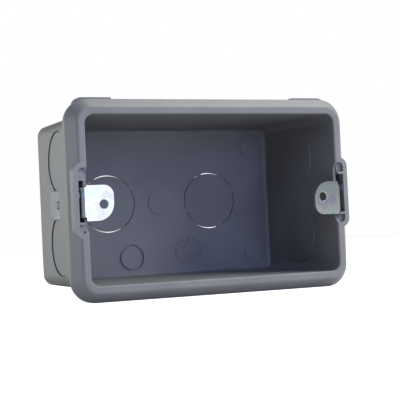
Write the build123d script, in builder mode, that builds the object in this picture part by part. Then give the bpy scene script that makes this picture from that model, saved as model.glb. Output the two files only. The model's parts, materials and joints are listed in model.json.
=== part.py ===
# Flush-mounting wiring box for a three-module wall plate, with two sliding steel fixing lugs.
# The origin is the centre of the rim's front plane: +X right, +Y into the wall, +Z up.
from build123d import *
import os
from math import cos, radians, sin, tan

os.makedirs("parts", exist_ok=True)

# Overall sizes of the moulded box
flange_length = 105.6  # outer length of the rim, across the two lugs
flange_height = 67.4
depth = 52.0
wall = 1.3
back_wall = 1.4
draft_angle = 0.9  # degrees that each wall leans in towards the back

# Rim, a bevelled lip that hides the edge of the hole in the plaster
rim_face_width = 2.2  # flat front face, from the mouth to the bevel
rim_bevel_width = 2.95  # how far the bevelled side reaches outwards
rim_bevel_depth = 4.4
rim_edge_depth = 2.0  # straight edge behind the bevel
rim_skin = 1.5
mouth_corner = 3.2
mouth_chamfer = 0.4
bevel_rounding = 1.3
back_rounding = 4.4
floor_rounding = 1.2  # inside, where the walls meet the back

# Pocket for a fixing lug, one in the middle of each short side
pocket_height = 25.0
pocket_depth = 7.0
pocket_corner = 3.3
pocket_wall = 1.7  # plastic outside the slot
slot_height = 13.6
slot_middle = -0.3  # height of the slot's middle
slot_width = 2.15
slot_seat = 0.3  # the slot is cut this much into the side wall
slot_rib = 0.8  # cross rib between the slot and each recess
recess_height = 21.4
recess_depth = 1.2
recess_corner = 1.5
dip_height = 18.0  # stretch where the side wall's front edge drops under the lug
dip_depth = 1.7
dip_ramp = 2.0
guide_rib_radius = 2.2  # rounded rib that steadies the leg in the slot
guide_rib_rise = 0.6
guide_rib_height = 1.7
guide_rib_start = 0.8  # depth at which the rib starts
strap_end = 17.0  # depth at which the strap over the lug's leg ends
strap_wall = 0.95
strap_side = 1.4

# Fixing lugs, bent from zinc-plated strip
screw_spacing = 83.5
screw_level = -1.4  # height of both screw holes in the rest position
screw_hole = 3.3  # tapping size for an M4 screw
strip_thickness = 1.1
tab_width = 11.7
tab_offset = 0.5  # from the screw hole to the tab's middle, towards the small round corner
tab_tip = 3.45  # from the screw hole to the tip
leg_width = 9.7
leg_offset = 0.8  # from the screw hole to the leg's middle, the same way
leg_end = 31.5
outer_bend = 1.5
tip_round_large = 5.8
tip_round_small = 3.4
leg_corner = 1.0
barb_root = 25.6
barb_width = 2.0
barb_rise = 0.8
barb_slit = 0.3

# Running clearances of a lug in its slot
leg_clearance = 0.1
slide_clearance = 0.05
shoulder_clearance = 0.35
barb_clearance = 0.3

# Knock-out discs for 20 mm conduit, each held by thin bridges in a ring-shaped slit
knockout_diameter = 21.4
knockout_slit = 0.35
knockout_sink = 0.4  # how far the side walls' discs are set inwards
bridge_width = 1.3
side_knockout_depth = 26.6
side_knockout_height = 14.4
back_knockout_offset = 20.9
upper_bridges = (40, 130, 220, 310)  # degrees round the ring from the side nearest the back
lower_bridges = (3, 93, 183, 273)
left_bridges = (32, 122, 212, 302)  # degrees round the ring from the right, in the back
right_bridges = (20, 110, 200, 290)

# Keys on the top edge behind the rim, for plaster and for lining up a second box
key_length = 13.5
key_inset = 4.4  # from the end of the rim to the key
key_depth = 2.6
key_gap = 1.0
key_rise = 0.9
key_corner = 3.0

# Round marks left by the mould on the inside of the back
corner_mark_radius = 4.8
corner_mark_inset = 6.9
corner_mark_line = 0.8
corner_mark_depth = 0.35
gate_radius = 4.8
gate_rise = 0.35
post_mark_radius = 5.1  # deep ring for a cut-off screw post
post_mark_place = (-12.5, -20.6)
post_mark_line = 1.0
post_mark_depth = 0.7

# Sizes that follow from the ones above
mouth_length = flange_length - 2 * (rim_face_width + rim_bevel_width)
mouth_height = flange_height - 2 * (rim_face_width + rim_bevel_width)
face_length = mouth_length + 2 * rim_face_width
face_height = mouth_height + 2 * rim_face_width
face_corner = mouth_corner + rim_face_width
flange_corner = face_corner + rim_bevel_width
rim_depth = rim_bevel_depth + rim_edge_depth
cavity_length = mouth_length - 2 * mouth_chamfer
cavity_height = mouth_height - 2 * mouth_chamfer
cavity_depth = depth - back_wall
body_length = cavity_length + 2 * wall
body_height = cavity_height + 2 * wall
body_corner = mouth_corner + wall
slot_inner = body_length / 2 - slot_seat
slot_outer = slot_inner + slot_width
pocket_outer = slot_outer + pocket_wall
leg_inner = slot_inner + leg_clearance
leg_outer = leg_inner + strip_thickness
strap_height = slot_height + 2 * strap_side
strap_outer = slot_outer + strap_wall
shoulder = slot_inner - shoulder_clearance  # where the tab narrows to the leg
barb_tip = strap_end + barb_clearance
leg_play = (slot_height - leg_width) / 2 - slide_clearance
slit_middle_radius = (knockout_diameter - knockout_slit) / 2


def section(level):
    """Plane across the box at a depth behind the rim, with x to the right and y up."""
    return Plane.XZ.offset(-level)


def wall_lean(level):
    """How far a wall has leaned in at a depth behind the rim."""
    return level * tan(radians(draft_angle))


def slab(side, inner, outer, height, level=0):
    """Rectangle across one short side, between two distances from the middle."""
    with Locations((side * (inner + outer) / 2, level)):
        Rectangle(outer - inner, height)


def outer_vertices(sketch, side):
    """Corners of a sketch that lie furthest out on one side."""
    return sketch.vertices().group_by(Axis.X)[0 if side < 0 else -1]


def ring(radius, line):
    """Thin ring drawn inside a radius."""
    Circle(radius)
    Circle(radius - line, mode=Mode.SUBTRACT)


def ring_slit(bridges):
    """Ring-shaped slit of a knock-out, left closed at its bridges."""
    ring(knockout_diameter / 2, knockout_slit)
    for angle in bridges:
        with PolarLocations(slit_middle_radius, 1, start_angle=angle):
            Rectangle(2 * knockout_slit, bridge_width, mode=Mode.SUBTRACT)


# The moulded box is one piece: rim, walls, lug pockets, straps, keys and knock-out discs.
with BuildPart() as box_body:
    # Rim with its bevelled side, cored out behind
    with BuildSketch(section(0)):
        RectangleRounded(face_length, face_height, face_corner)
    with BuildSketch(section(rim_bevel_depth)):
        RectangleRounded(flange_length, flange_height, flange_corner)
    loft()
    with BuildSketch(section(rim_bevel_depth)):
        RectangleRounded(flange_length, flange_height, flange_corner)
    extrude(amount=-rim_edge_depth)
    fillet(box_body.faces().sort_by(Axis.Y)[0].edges(), bevel_rounding)
    with BuildSketch(section(rim_skin)):
        RectangleRounded(face_length - 2 * rim_skin, face_height - 2 * rim_skin, face_corner - rim_skin)
    with BuildSketch(section(rim_bevel_depth)) as core:
        RectangleRounded(flange_length - 2 * rim_skin, flange_height - 2 * rim_skin, flange_corner - rim_skin)
    loft(mode=Mode.SUBTRACT)
    extrude(core.sketch, amount=-rim_edge_depth, mode=Mode.SUBTRACT)

    # Drafted box with rounded back edges
    with BuildSketch(section(rim_skin)):
        RectangleRounded(body_length, body_height, body_corner)
    extrude(amount=-(depth - rim_skin), taper=draft_angle)
    fillet(box_body.faces().sort_by(Axis.Y)[-1].edges(), back_rounding)

    # Lug pockets on the rim, and the straps that hold the lugs' legs to the side walls
    for side in (-1, 1):
        with BuildSketch(section(0)) as pocket:
            slab(side, mouth_length / 2, pocket_outer, pocket_height)
            fillet(outer_vertices(pocket, side), pocket_corner)
        extrude(amount=-pocket_depth)
        with BuildSketch(section(pocket_depth)):
            slab(side, body_length / 2 - wall, strap_outer, strap_height, slot_middle)
        extrude(amount=-(strap_end - pocket_depth))

    # Keys on the top edge
    key_top = flange_height / 2 + key_rise
    key_root = body_height / 2 - wall
    key_middle = flange_length / 2 - key_inset - key_length / 2
    for side in (-1, 1):
        with BuildSketch(section(rim_depth + key_gap)) as key:
            with Locations((side * key_middle, (key_top + key_root) / 2)):
                Rectangle(key_length, key_top - key_root)
            fillet(outer_vertices(key, side).sort_by(Axis.Y)[-1], key_corner)
        extrude(amount=-key_depth)

    # Hollow inside, with a chamfered mouth and a rounded floor
    with BuildSketch(section(0)):
        RectangleRounded(cavity_length, cavity_height, mouth_corner)
    extrude(amount=-cavity_depth, taper=draft_angle, mode=Mode.SUBTRACT)
    floor = box_body.faces().filter_by(Axis.Y).sort_by(Axis.Y)[-2]
    fillet(floor.edges(), floor_rounding)
    front = box_body.faces().filter_by(Axis.Y).sort_by(Axis.Y)[0]
    chamfer(front.inner_wires()[0].edges(), mouth_chamfer)

    for side in (-1, 1):
        # Slot through the pocket and the strap
        with BuildSketch(section(0)):
            slab(side, slot_inner, slot_outer, slot_height, slot_middle)
        extrude(amount=-strap_end, mode=Mode.SUBTRACT)
        # Shallow recess above and below the slot, each behind a thin cross rib
        for end in (-1, 1):
            near = slot_middle + end * (slot_height / 2 + slot_rib)
            far = end * recess_height / 2
            with BuildSketch(section(0)) as recess:
                slab(side, slot_inner, slot_outer, abs(far - near), (far + near) / 2)
                fillet(outer_vertices(recess, side).sort_by(Axis.Y)[-1 if end > 0 else 0], recess_corner)
            extrude(amount=-recess_depth, mode=Mode.SUBTRACT)
        # The side wall's front edge drops under the lug's tab
        with BuildSketch(Plane.YZ.offset(side * slot_inner)):
            with BuildLine():
                half = dip_height / 2
                Polyline((-dip_depth, half + 2 * dip_ramp), (dip_depth, half), (dip_depth, -half),
                         (-dip_depth, -half - 2 * dip_ramp), close=True)
            make_face()
        extrude(amount=-side * (slot_inner - cavity_length / 2 + wall), mode=Mode.SUBTRACT)
        # Rounded guide rib on the slot's outer wall
        with BuildSketch(section(guide_rib_start)):
            with Locations((side * (slot_outer - guide_rib_rise + guide_rib_radius), guide_rib_height)):
                Circle(guide_rib_radius)
            with Locations((side * slot_outer, guide_rib_height)):
                Rectangle(2 * guide_rib_rise, 2 * guide_rib_radius, mode=Mode.INTERSECT)
        extrude(amount=-(pocket_depth - guide_rib_start))
        # Knock-outs in the side wall, with their discs set inwards
        lean = radians(draft_angle)
        for end, bridges in ((1, upper_bridges), (-1, lower_bridges)):
            outer_x = body_length / 2 - wall_lean(side_knockout_depth - rim_skin)
            outside = Plane(origin=(side * outer_x, side_knockout_depth, end * side_knockout_height),
                            x_dir=(-side * sin(lean), cos(lean), 0), z_dir=(cos(lean), side * sin(lean), 0))
            with BuildSketch(outside):
                Circle(slit_middle_radius)
            extrude(amount=knockout_sink, both=True, mode=Mode.SUBTRACT)
            with BuildSketch(outside.offset(-side * wall / 2)):
                Circle(slit_middle_radius)
            extrude(amount=-side * (wall / 2 + knockout_sink))
            with BuildSketch(outside):
                ring_slit(bridges)
            extrude(amount=2 * wall, both=True, mode=Mode.SUBTRACT)

    # Knock-outs in the back
    for side, bridges in ((-1, left_bridges), (1, right_bridges)):
        centre = (side * back_knockout_offset, depth, 0)
        with BuildSketch(Plane(origin=centre, x_dir=(1, 0, 0), z_dir=(0, -1, 0))):
            ring_slit(bridges)
        extrude(amount=2 * back_wall, both=True, mode=Mode.SUBTRACT)

    # Mould marks on the floor
    floor_length = cavity_length - 2 * wall_lean(cavity_depth)
    floor_height = cavity_height - 2 * wall_lean(cavity_depth)
    with BuildSketch(section(cavity_depth)):
        with GridLocations(floor_length - 2 * corner_mark_inset, floor_height - 2 * corner_mark_inset, 2, 2):
            ring(corner_mark_radius, corner_mark_line)
    extrude(amount=-corner_mark_depth, mode=Mode.SUBTRACT)
    with BuildSketch(section(cavity_depth)):
        with Locations(post_mark_place):
            ring(post_mark_radius, post_mark_line)
    extrude(amount=-post_mark_depth, mode=Mode.SUBTRACT)
    with BuildSketch(section(cavity_depth)):
        Circle(gate_radius)
    extrude(amount=gate_rise)


def fixing_lug(side):
    """Bent strip with a tapped tab in front of the mouth and a barbed leg behind the strap.

    Both lugs are one stamping: the left one is turned half a turn about the depth axis.
    """
    stamping = Plane(origin=(0, 0, screw_level), x_dir=(side, 0, 0), z_dir=(0, 0, side))
    leg_plane = stamping.offset(-leg_offset)
    tip = screw_spacing / 2 - tab_tip
    with BuildPart() as lug:
        # Leg and bend, up to where the strip widens into the tab
        with BuildSketch(leg_plane) as bend:
            with BuildLine():
                Polyline((shoulder, 0), (leg_outer, 0), (leg_outer, leg_end), (leg_inner, leg_end),
                         (leg_inner, strip_thickness), (shoulder, strip_thickness), close=True)
            make_face()
            corners = bend.vertices().filter_by_position(Axis.Y, strip_thickness, strip_thickness)
            fillet(corners.sort_by(Axis.X)[-1], outer_bend - strip_thickness)
            fillet(bend.vertices().group_by(Axis.Y)[0].sort_by(Axis.X)[-1], outer_bend)
        extrude(amount=leg_width / 2, both=True)
        fillet(lug.edges().filter_by(Axis.X).group_by(Axis.Y)[-1], leg_corner)
        # Tab with one large and one small round corner at its tip
        with BuildSketch(section(0)) as tab:
            with Locations((side * (tip + shoulder) / 2, screw_level - side * tab_offset)):
                Rectangle(shoulder - tip, tab_width)
            fillet(outer_vertices(tab, -side).sort_by(Axis.Y)[0 if side > 0 else -1], tip_round_small)
            fillet(outer_vertices(tab, -side).sort_by(Axis.Y)[-1 if side > 0 else 0], tip_round_large)
            with Locations((side * screw_spacing / 2, screw_level)):
                Circle(screw_hole / 2, mode=Mode.SUBTRACT)
        extrude(amount=-strip_thickness)
        # Window for the barb, and the barb itself, which springs out behind the strap
        with BuildSketch(leg_plane):
            with Locations(((leg_inner + leg_outer) / 2, (barb_tip - barb_slit + barb_root) / 2)):
                Rectangle(2 * strip_thickness, barb_root - barb_tip + barb_slit)
        extrude(amount=barb_width / 2 + barb_slit, both=True, mode=Mode.SUBTRACT)
        with BuildSketch(leg_plane):
            with BuildLine():
                Polyline((leg_inner, barb_root), (leg_outer, barb_root), (leg_outer + barb_rise, barb_tip),
                         (leg_inner + barb_rise, barb_tip), close=True)
            make_face()
        extrude(amount=barb_width / 2, both=True)
    return lug


lug_left = fixing_lug(-1)
lug_right = fixing_lug(1)

box_body.part.label = "box_body"
lug_left.part.label = "lug_left"
lug_right.part.label = "lug_right"
export_step(box_body.part, "parts/box_body.step")
export_step(lug_left.part, "parts/lug_left.step")
export_step(lug_right.part, "parts/lug_right.step")
for side, name in ((-1, "left"), (1, "right")):
    leg_level = screw_level - side * leg_offset - slot_middle
    print(name, "lug slides from", round(-leg_play - leg_level, 3), "to", round(leg_play - leg_level, 3), "mm")
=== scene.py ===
import bpy
import json
from math import radians
from mathutils import Matrix, Vector


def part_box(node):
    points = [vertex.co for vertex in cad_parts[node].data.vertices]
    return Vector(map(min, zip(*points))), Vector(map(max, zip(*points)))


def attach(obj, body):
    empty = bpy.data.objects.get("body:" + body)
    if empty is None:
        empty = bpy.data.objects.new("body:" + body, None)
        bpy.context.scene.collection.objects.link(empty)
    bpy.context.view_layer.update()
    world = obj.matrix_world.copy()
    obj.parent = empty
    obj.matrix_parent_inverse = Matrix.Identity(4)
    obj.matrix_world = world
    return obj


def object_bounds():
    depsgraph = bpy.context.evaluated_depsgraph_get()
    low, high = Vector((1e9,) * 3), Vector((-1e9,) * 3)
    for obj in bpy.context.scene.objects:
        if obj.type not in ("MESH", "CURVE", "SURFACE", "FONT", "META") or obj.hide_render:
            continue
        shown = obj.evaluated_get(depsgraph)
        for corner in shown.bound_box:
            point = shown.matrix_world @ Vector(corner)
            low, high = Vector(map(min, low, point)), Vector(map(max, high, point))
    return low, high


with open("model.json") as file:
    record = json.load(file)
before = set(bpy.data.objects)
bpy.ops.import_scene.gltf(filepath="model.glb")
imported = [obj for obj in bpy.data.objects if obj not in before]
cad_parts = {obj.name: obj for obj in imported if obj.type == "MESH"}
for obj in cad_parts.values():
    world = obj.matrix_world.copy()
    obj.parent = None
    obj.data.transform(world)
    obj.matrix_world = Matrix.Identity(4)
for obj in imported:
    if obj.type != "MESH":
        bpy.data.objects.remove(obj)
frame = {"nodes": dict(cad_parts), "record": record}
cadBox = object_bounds()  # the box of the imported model, before anything is added
print("frame loaded:", ", ".join(sorted(frame["nodes"])))


def mm(value):
    return value / 1000


# What follows is shared by all the materials

def newMaterial(name):
    material = bpy.data.materials.new(name)
    material.use_nodes = True
    tree = material.node_tree
    shader = tree.nodes["Principled BSDF"]
    coords = tree.nodes.new("ShaderNodeTexCoord")
    return material, tree, shader, coords.outputs["Object"]


def noise(tree, coords, size, detail=2.0, stretch=(1, 1, 1)):
    place = tree.nodes.new("ShaderNodeMapping")
    place.inputs["Scale"].default_value = stretch
    texture = tree.nodes.new("ShaderNodeTexNoise")
    texture.inputs["Scale"].default_value = 1 / size  # size of one patch in metres
    texture.inputs["Detail"].default_value = detail
    tree.links.new(coords, place.inputs["Vector"])
    tree.links.new(place.outputs["Vector"], texture.inputs["Vector"])
    return texture.outputs["Fac"]


def ramp(tree, value, stops):
    node = tree.nodes.new("ShaderNodeValToRGB")
    while len(node.color_ramp.elements) < len(stops):
        node.color_ramp.elements.new(0.5)
    for element, (place, colour) in zip(node.color_ramp.elements, stops):
        element.position = place
        element.color = (*colour, 1)
    tree.links.new(value, node.inputs["Fac"])
    return node.outputs["Color"]


def remap(tree, value, low, high):
    node = tree.nodes.new("ShaderNodeMapRange")
    node.inputs["To Min"].default_value = low
    node.inputs["To Max"].default_value = high
    tree.links.new(value, node.inputs["Value"])
    return node.outputs["Result"]


def bump(tree, height, depth, below=None):
    node = tree.nodes.new("ShaderNodeBump")
    node.inputs["Strength"].default_value = 1.0
    node.inputs["Distance"].default_value = depth
    tree.links.new(height, node.inputs["Height"])
    if below is not None:
        tree.links.new(below, node.inputs["Normal"])
    return node.outputs["Normal"]


def combine(tree, operation, first, second):
    node = tree.nodes.new("ShaderNodeMath")
    node.operation = operation
    for socket, value in zip(node.inputs, (first, second)):
        if isinstance(value, float):
            socket.default_value = value
        else:
            tree.links.new(value, socket)
    return node.outputs["Value"]


def dress(node, material):
    mesh = frame["nodes"][node].data
    mesh.materials.clear()
    mesh.materials.append(material)


# Moulded plastic of the box
plastic = {
    "darkGrey": (0.145, 0.148, 0.156),
    "paleGrey": (0.170, 0.173, 0.181),
    "darkUpTo": 0.35,
    "paleFrom": 0.65,
    "patchSize": mm(18),
    "patchDetail": 4,
    "grainSize": mm(0.35),
    "grainDetail": 3,
    "grainDepth": mm(0.012),
    "waveSize": mm(9),
    "waveDepth": mm(0.05),
    "smoothest": 0.46,
    "roughest": 0.56,
}


def makePlastic():
    material, tree, shader, coords = newMaterial("greyPlastic")
    patches = noise(tree, coords, plastic["patchSize"], detail=plastic["patchDetail"])
    colour = ramp(tree, patches, [(plastic["darkUpTo"], plastic["darkGrey"]),
                                  (plastic["paleFrom"], plastic["paleGrey"])])
    grain = noise(tree, coords, plastic["grainSize"], detail=plastic["grainDetail"])
    wave = noise(tree, coords, plastic["waveSize"])
    finish = remap(tree, patches, plastic["smoothest"], plastic["roughest"])
    rounded = bump(tree, wave, plastic["waveDepth"])
    tree.links.new(colour, shader.inputs["Base Color"])
    tree.links.new(finish, shader.inputs["Roughness"])
    tree.links.new(bump(tree, grain, plastic["grainDepth"], below=rounded), shader.inputs["Normal"])
    return material


# Zinc-plated strip of the lugs
zinc = {
    "white": (0.80, 0.83, 0.85),
    "lavender": (0.66, 0.70, 0.86),
    "cyan": (0.68, 0.84, 0.86),
    "lavenderUpTo": 0.38,
    "whiteAt": 0.5,
    "cyanFrom": 0.64,
    "cloudSize": mm(5),
    "cloudDetail": 1,
    "streakSize": mm(1.2),
    "streakDetail": 4,
    "streakStretch": (1, 1, 6),
    "streakDepth": mm(0.01),
    "smoothest": 0.12,
    "roughest": 0.24,
}


def makeZinc():
    material, tree, shader, coords = newMaterial("zincPlatedSteel")
    clouds = noise(tree, coords, zinc["cloudSize"], detail=zinc["cloudDetail"])
    colour = ramp(tree, clouds, [(zinc["lavenderUpTo"], zinc["lavender"]), (zinc["whiteAt"], zinc["white"]),
                                 (zinc["cyanFrom"], zinc["cyan"])])
    streaks = noise(tree, coords, zinc["streakSize"], detail=zinc["streakDetail"],
                    stretch=zinc["streakStretch"])
    finish = remap(tree, streaks, zinc["smoothest"], zinc["roughest"])
    shader.inputs["Metallic"].default_value = 1.0
    tree.links.new(colour, shader.inputs["Base Color"])
    tree.links.new(finish, shader.inputs["Roughness"])
    tree.links.new(bump(tree, streaks, zinc["streakDepth"]), shader.inputs["Normal"])
    return material


greyPlastic = makePlastic()
zincSteel = makeZinc()
dress("box_body", greyPlastic)
dress("lug_left", zincSteel)
dress("lug_right", zincSteel)
print("materials done")


# What follows is shared by all the modelled pieces

squareOn = 0.9  # a face looks along an axis when its normal reaches this far along it


def settle(name, material):
    piece = bpy.context.object
    bpy.ops.object.transform_apply(location=True, rotation=True, scale=True)
    piece.name = name
    piece.data.materials.clear()
    piece.data.materials.append(material)
    return piece


def pickFaces(piece, wanted):
    bpy.ops.object.mode_set(mode="OBJECT")
    for part in (piece.data.vertices, piece.data.edges):
        for item in part:
            item.select = False
    for face in piece.data.polygons:
        face.select = wanted(face)
    bpy.ops.object.mode_set(mode="EDIT")
    bpy.ops.mesh.select_mode(type="FACE")


def joinAll(pieces):
    bpy.ops.object.select_all(action="DESELECT")
    for piece in pieces:
        piece.select_set(True)
    bpy.context.view_layer.objects.active = pieces[0]
    bpy.ops.object.join()
    return pieces[0]


# Moulded dial low on the back, with spokes like a clock
dial = {
    "across": mm(11.2),
    "up": mm(-18.6),
    "backWall": mm(1.4),  # the dial stands on its inner face
    "radius": mm(5.6),
    "rimWidth": mm(0.6),
    "hubRadius": mm(1.7),
    "hubDimple": mm(0.7),
    "spokes": 12,
    "spokeWidth": mm(0.55),
    "rise": mm(0.25),
    "root": mm(0.05),  # sunk into the back
    "overlap": mm(0.1),
    "segments": 64,
}
dialMiddle = Vector((dial["across"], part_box("box_body")[1].y - dial["backWall"], dial["up"]))
dialHeight = dial["rise"] + dial["root"]
dialLevel = Vector((0, dialHeight / 2 - dial["rise"], 0))  # from the wall's face to the middle of the relief


def dialDisc(radius, border):
    bpy.ops.mesh.primitive_cylinder_add(vertices=dial["segments"], radius=radius, depth=dialHeight,
                                        location=dialMiddle + dialLevel, rotation=(radians(90), 0, 0))
    disc = settle("dialDisc", greyPlastic)
    pickFaces(disc, lambda face: face.normal.y < -squareOn)
    bpy.ops.mesh.inset(thickness=border, depth=0)
    sunk = dial["rise"] + dial["root"] / 2
    bpy.ops.mesh.extrude_region_move(TRANSFORM_OT_translate={"value": (0, sunk, 0)})
    bpy.ops.object.mode_set(mode="OBJECT")
    return disc


def dialSpokes():
    inner = dial["hubRadius"] - dial["overlap"]
    outer = dial["radius"] - dial["rimWidth"] + dial["overlap"]
    reach = Vector(((inner + outer) / 2, 0, 0))
    bpy.ops.mesh.primitive_cube_add(size=1, location=dialMiddle + dialLevel + reach,
                                    scale=(outer - inner, dialHeight, dial["spokeWidth"]))
    spokes = settle("dialSpokes", greyPlastic)
    pickFaces(spokes, lambda face: True)
    step = 360 / dial["spokes"]
    bpy.ops.mesh.spin(steps=dial["spokes"] - 1, dupli=True, angle=radians(360 - step),
                      center=dialMiddle, axis=(0, 1, 0))
    bpy.ops.object.mode_set(mode="OBJECT")
    return spokes


def makeDial():
    ring = dialDisc(dial["radius"], dial["rimWidth"])
    hub = dialDisc(dial["hubRadius"], dial["hubRadius"] - dial["hubDimple"])
    piece = joinAll([ring, hub, dialSpokes()])
    piece.name = "mouldDial"
    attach(piece, "box")


# Thread cut in each lug's screw hole, where the record has the holes
screws = next(mount for mount in frame["record"]["mounts"] if mount["name"] == "device_screws")
thread = {
    "spacing": mm(screws["dims"]["spacing_x_mm"]),
    "height": screws["pos_m"][2],
    "holeRadius": mm(screws["dims"]["hole_r_mm"]),
    "crestRadius": mm(1.50),
    "pitch": mm(0.7),
    "ridgeWidth": mm(0.5),
    "sheet": mm(1.1),  # thickness of the lug
    "skin": mm(0.03),  # from each face of the lug to the thread's end, and from the hole's wall to its root
    "cutTolerance": mm(0.001),
    "turns": 4,
    "segmentsPerTurn": 40,
}


def makeThread(side, name, body):
    root = thread["holeRadius"] + thread["skin"]
    halfWidth = thread["ridgeWidth"] / 2
    profile = ((root, -halfWidth), (thread["crestRadius"], 0), (root, halfWidth))
    start = (side * thread["spacing"] / 2, -thread["pitch"], thread["height"])
    bpy.ops.mesh.primitive_circle_add(vertices=len(profile), radius=thread["ridgeWidth"], location=start)
    coil = bpy.context.object
    for vertex, (reach, along) in zip(coil.data.vertices, profile):
        vertex.co = (reach, along, 0)
    screw = coil.modifiers.new("turns", "SCREW")
    screw.axis = "Y"
    screw.angle = radians(360 * thread["turns"])
    screw.screw_offset = thread["pitch"] * thread["turns"]
    screw.steps = screw.render_steps = thread["segmentsPerTurn"] * thread["turns"]
    bpy.ops.object.modifier_apply(modifier="turns")
    settle(name, zincSteel)
    # Both ends are cut off just inside the faces of the lug
    bpy.ops.object.mode_set(mode="EDIT")
    for along, outwards in ((thread["skin"], -1), (thread["sheet"] - thread["skin"], 1)):
        bpy.ops.mesh.select_all(action="SELECT")
        bpy.ops.mesh.bisect(plane_co=(0, along, 0), plane_no=(0, outwards, 0),
                            use_fill=True, clear_outer=True, threshold=thread["cutTolerance"])
    bpy.ops.mesh.select_all(action="SELECT")
    bpy.ops.mesh.normals_make_consistent(inside=False)
    bpy.ops.object.mode_set(mode="OBJECT")
    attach(coil, body)


# Stamped ribs near the end of each leg
ribs = {
    "barbRise": mm(0.8),  # the barb's tip is this far outside the leg's outer face
    "depth": mm(24.2),
    "length": mm(4.6),
    "width": mm(0.4),
    "rise": mm(0.16),
    "root": mm(0.05),  # sunk into the leg
    "spacing": mm(0.95),
    "count": 3,
    "firstHeight": {"left": mm(-2.45), "right": mm(-0.35)},  # of the rib nearest the window
}


def makeRibs(side, name, body, first):
    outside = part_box("lug_right")[1].x - ribs["barbRise"]
    height = ribs["rise"] + ribs["root"]
    across = side * (outside + ribs["rise"] - height / 2)
    bpy.ops.mesh.primitive_cube_add(size=1, location=(across, ribs["depth"], first),
                                    scale=(height, ribs["length"], ribs["width"]))
    piece = settle(name, zincSteel)
    pickFaces(piece, lambda face: face.normal.x * side > squareOn)
    bpy.ops.mesh.bevel(offset=ribs["rise"] / 2, segments=2)
    bpy.ops.mesh.select_all(action="SELECT")
    for step in range(1, ribs["count"]):
        bpy.ops.mesh.duplicate_move(TRANSFORM_OT_translate={"value": (0, 0, side * ribs["spacing"])})
    bpy.ops.object.mode_set(mode="OBJECT")
    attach(piece, body)


# Thin web of flash that the mould leaves in the slits of the side walls
web = {
    "outer": mm(10.75),
    "inner": mm(10.30),
    "thickness": mm(0.3),
    "across": mm(47.006),  # from the middle of the box to the web
    "depth": mm(26.6),
    "height": mm(14.4),
    "draft": 0.9,
    "segments": 96,
}


def makeWeb():
    bpy.ops.mesh.primitive_cylinder_add(vertices=web["segments"], radius=web["outer"],
                                        depth=web["thickness"], rotation=(0, radians(90), 0))
    model = settle("webModel", greyPlastic)
    pickFaces(model, lambda face: abs(face.normal.x) > squareOn)
    bpy.ops.mesh.inset(thickness=web["outer"] - web["inner"], depth=0)
    bpy.ops.mesh.delete(type="FACE")
    bpy.ops.mesh.select_mode(type="EDGE")
    bpy.ops.mesh.select_non_manifold()
    bpy.ops.mesh.bridge_edge_loops()
    bpy.ops.mesh.select_all(action="SELECT")
    bpy.ops.mesh.normals_make_consistent(inside=False)
    bpy.ops.object.mode_set(mode="OBJECT")
    return model


def copyWeb(model, name, side, end):
    bpy.ops.object.select_all(action="DESELECT")
    model.select_set(True)
    bpy.context.view_layer.objects.active = model
    bpy.ops.object.duplicate()
    copy = bpy.context.object
    copy.location = (side * web["across"], web["depth"], end * web["height"])
    copy.rotation_euler = (0, 0, radians(side * web["draft"]))
    settle(name, greyPlastic)
    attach(copy, "box")


def placeWebs():
    model = makeWeb()
    for sideName, side in (("Right", 1), ("Left", -1)):
        copyWeb(model, f"web{sideName}Upper", side, 1)
        copyWeb(model, f"web{sideName}Lower", side, -1)
    bpy.data.objects.remove(model)


bpy.ops.object.select_all(action="DESELECT")
makeDial()
print("dial done")
for side, name in ((-1, "Left"), (1, "Right")):
    makeThread(side, "thread" + name, name.lower() + "_lug")
    makeRibs(side, "ribs" + name, name.lower() + "_lug", ribs["firstHeight"][name.lower()])
print("threads and ribs done")
placeWebs()
print("webs done")

# Floor, under the lowest edge of the rim, and what is seen round the box
studio = {
    "floorSize": 3.0,
    "floorColour": (0.50, 0.50, 0.50),
    "floorRoughness": 0.9,
    "floorGlow": 0.9,  # what the camera sees of it, shadow aside
    "worldColour": (1.0, 1.0, 1.0),
    "worldLight": 0.06,
    "worldMirrored": 0.18,  # strength in the metal and in the sheen of the plastic
    "aimedAt": (0, mm(20), 0),
}


def makeFloor():
    bpy.ops.mesh.primitive_plane_add(size=studio["floorSize"], location=(0, 0, cadBox[0].z))
    floor = bpy.context.object
    floor.name = "floor"
    material, tree, shader, coords = newMaterial("paleFloor")
    shader.inputs["Base Color"].default_value = (*studio["floorColour"], 1)
    shader.inputs["Roughness"].default_value = studio["floorRoughness"]
    shader.inputs["Emission Color"].default_value = (1, 1, 1, 1)
    rays = tree.nodes.new("ShaderNodeLightPath")
    seen = combine(tree, "MULTIPLY", rays.outputs["Is Camera Ray"], studio["floorGlow"])
    mirrored = combine(tree, "MULTIPLY", rays.outputs["Is Glossy Ray"], studio["worldMirrored"])
    tree.links.new(combine(tree, "MAXIMUM", seen, mirrored), shader.inputs["Emission Strength"])
    floor.data.materials.append(material)


def makeWorld():
    world = bpy.data.worlds.new("studio")
    bpy.context.scene.world = world
    world.use_nodes = True
    tree = world.node_tree
    back = tree.nodes["Background"]
    back.inputs["Color"].default_value = (*studio["worldColour"], 1)
    rays = tree.nodes.new("ShaderNodeLightPath")
    seen = combine(tree, "MAXIMUM", rays.outputs["Is Camera Ray"], rays.outputs["Is Transmission Ray"])
    mirrored = combine(tree, "MULTIPLY", rays.outputs["Is Glossy Ray"], studio["worldMirrored"])
    shown = combine(tree, "MAXIMUM", seen, mirrored)
    strength = combine(tree, "MAXIMUM", shown, studio["worldLight"])
    tree.links.new(strength, back.inputs["Strength"])


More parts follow.
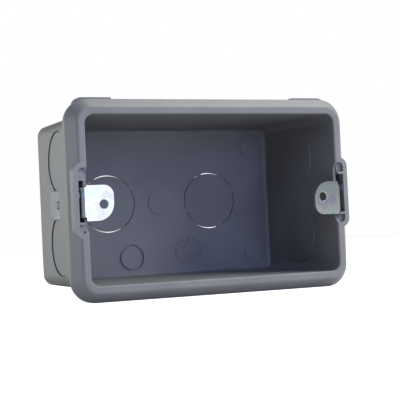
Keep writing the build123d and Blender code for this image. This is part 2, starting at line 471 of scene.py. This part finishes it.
# Soft lights, each aimed at the middle of the box
lights = {
    "highRight": {"place": (0.36, 0.02, 0.75), "size": 0.40, "watts": 4.7, "colour": (1, 0.99, 0.94)},
    "left": {"place": (-0.80, 0.10, 0.12), "size": 0.50, "watts": 2.0, "colour": (0.95, 1, 0.93)},
    "backLeft": {"place": (-0.60, 0.55, 0.00), "size": 0.50, "watts": 5.0, "colour": (0.98, 1, 0.98)},
    "front": {"place": (0.03, -0.80, 0.10), "size": 0.30, "watts": 1.9, "colour": (0.35, 0.46, 1)},
    "nearRight": {"place": (0.42, -0.29, 0.29), "size": 0.34, "watts": 5.5, "colour": (1, 0.98, 0.91)},
    "highLeft": {"place": (-0.30, -0.60, 0.40), "size": 0.30, "watts": 1.2, "colour": (0.62, 0.69, 1)},
    "mirrored": {"place": (0.063, -0.279, 0.008), "size": 0.12, "watts": 0.040, "colour": (1, 0.95, 0.9)},
}
unmirrored = ["nearRight"]  # seen from behind, its sheen would whiten the top


def makeLights():
    for name, light in lights.items():
        bpy.ops.object.light_add(type="AREA", location=light["place"])
        lamp = bpy.context.object
        lamp.name = name
        lamp.data.size = light["size"]
        lamp.data.energy = light["watts"]
        lamp.data.color = light["colour"]
        lamp.visible_glossy = name not in unmirrored
        towards = Vector(studio["aimedAt"]) - lamp.location
        lamp.rotation_euler = towards.to_track_quat("-Z", "Y").to_euler()


# Camera, from the photograph's perspective, with its angles in degrees
cameraSetup = {
    "place": (mm(-182.35), mm(-367.61), mm(-11.52)),
    "turn": 25.49,
    "tilt": 1.46,
    "roll": 2.71,
    "lens": 108.1,
    "sensor": 36,
    "nearest": 0.01,
}


def makeCamera():
    bpy.ops.object.camera_add()
    camera = bpy.context.object
    level = Matrix.Rotation(radians(90), 4, "X")
    turn = Matrix.Rotation(radians(-cameraSetup["turn"]), 4, "Z")
    tilt = Matrix.Rotation(radians(cameraSetup["tilt"]), 4, "X")
    roll = Matrix.Rotation(radians(cameraSetup["roll"]), 4, "Y")
    camera.matrix_world = Matrix.Translation(cameraSetup["place"]) @ turn @ tilt @ roll @ level
    camera.data.lens = cameraSetup["lens"]
    camera.data.sensor_width = cameraSetup["sensor"]
    camera.data.clip_start = cameraSetup["nearest"]
    bpy.context.scene.camera = camera


makeFloor()
makeWorld()
makeLights()
makeCamera()
bpy.context.scene.view_settings.view_transform = "Standard"
print("studio done")
